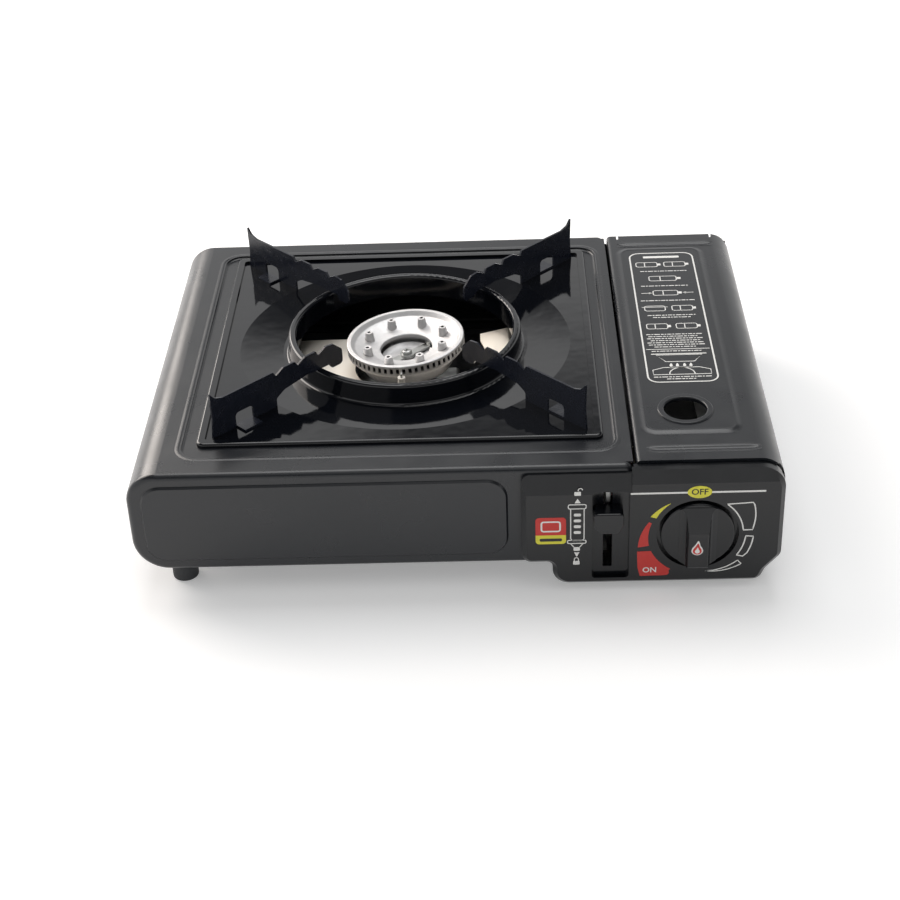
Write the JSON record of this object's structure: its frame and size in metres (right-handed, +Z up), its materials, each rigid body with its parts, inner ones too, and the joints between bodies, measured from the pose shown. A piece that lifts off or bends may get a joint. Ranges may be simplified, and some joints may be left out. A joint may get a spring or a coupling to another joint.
{
  "type": "butane cassette stove",
  "caption": "Flat portable gas stove: steel case with round burner, lift-off drip pan with four pan supports, side cartridge bay under a hinged lid, lock lever and rotary knob.",
  "frame": {"origin": "centre of the bounding box on the surface that the feet stand on", "axes": "+X right along the front, +Y to the back, +Z up"},
  "size_m": [0.343, 0.2794, 0.1014],
  "materials": {
    "painted_shell": "black powder coat, fine satin texture",
    "black_enamel": "glossy black vitreous enamel on pressed steel",
    "zinc_sheet": "bright galvanised steel sheet",
    "cast_alloy": "die-cast, bead-blasted matt",
    "black_abs": "moulded ABS, fine satin",
    "rubber_black": "moulded rubber",
    "brass": "turned brass",
    "bright_screw": "zinc-plated screw steel",
    "white_ceramic": "glazed alumina",
    "lead_jacket": "silicone wire jacket",
    "nitrile": "nitrile rubber"
  },
  "bodies": {
    "root": {"top_cover": "painted_shell", "lower_case": "painted_shell", "front_panel": "painted_shell", "rear_panel": "painted_shell", "canister_bay": "painted_shell", "reflector_plate": "zinc_sheet", "burner_bracket": "zinc_sheet", "canister_guide": "zinc_sheet", "slider_guide": "zinc_sheet", "air_shutter": "zinc_sheet", "burner_head": "cast_alloy", "burner_base": "cast_alloy", "regulator_body": "cast_alloy", "regulator_cap": "cast_alloy", "control_panel": "black_abs", "piezo_igniter": "black_abs", "tall_feet": "rubber_black", "short_feet": "rubber_black", "gas_jet": "brass", "burner_screw": "bright_screw", "burner_strap": "bright_screw", "rear_screws": "bright_screw", "panel_screws": "bright_screw", "lid_hinge_pin": "bright_screw", "electrode_needle": "bright_screw", "regulator_spring": "bright_screw", "gas_pipe": "bright_screw", "ignition_electrode": "white_ceramic", "ignition_lead": "lead_jacket", "canister_seal": "nitrile", "regulator_diaphragm": "nitrile"},
    "pan_set": {"drip_pan": "black_enamel", "support_rear_right": "black_enamel", "support_rear_left": "black_enamel", "support_front_left": "black_enamel", "support_front_right": "black_enamel"},
    "knob_set": {"control_knob": "black_abs", "valve_spindle": "brass", "igniter_cam": "black_abs"},
    "igniter_plunger": {"piezo_plunger": "black_abs"},
    "lid": {"canister_lid": "painted_shell"},
    "lever_set": {"lock_lever": "black_abs", "lever_slider": "zinc_sheet"},
    "carrier": {"canister_carrier": "zinc_sheet"}
  },
  "joints": [
    {"name": "knob_turn", "type": "hinge", "parent": "root", "child": "knob_set", "pos_m": [0.1266, -0.13267, 0.0356], "axis": [0, -1, 0], "range_deg": [0, 120]},
    {"name": "igniter_press", "type": "slide", "parent": "root", "child": "igniter_plunger", "axis": [0, 1, 0], "range_m": [0, 0.004]},
    {"name": "lever_slide", "type": "slide", "parent": "root", "child": "lever_set", "axis": [0, 0, -1], "range_m": [0, 0.02]},
    {"name": "carrier_slide", "type": "slide", "parent": "root", "child": "carrier", "axis": [0, -1, 0], "range_m": [0, 0.005]},
    {"name": "lid_hinge", "type": "hinge", "parent": "root", "child": "lid", "pos_m": [0.13, 0.13003, 0.07], "axis": [-1, 0, 0], "range_deg": [0, 95]},
    {"name": "pan_lift", "type": "slide", "parent": "root", "child": "pan_set", "axis": [0, 0, 1], "range_m": [0, 0.06]}
  ],
  "couplings": [
    {"joint": "igniter_press", "follows": "knob_turn", "m_per_rad": 0.0019099},
    {"joint": "carrier_slide", "follows": "lever_slide", "ratio": 0.25}
  ]
}
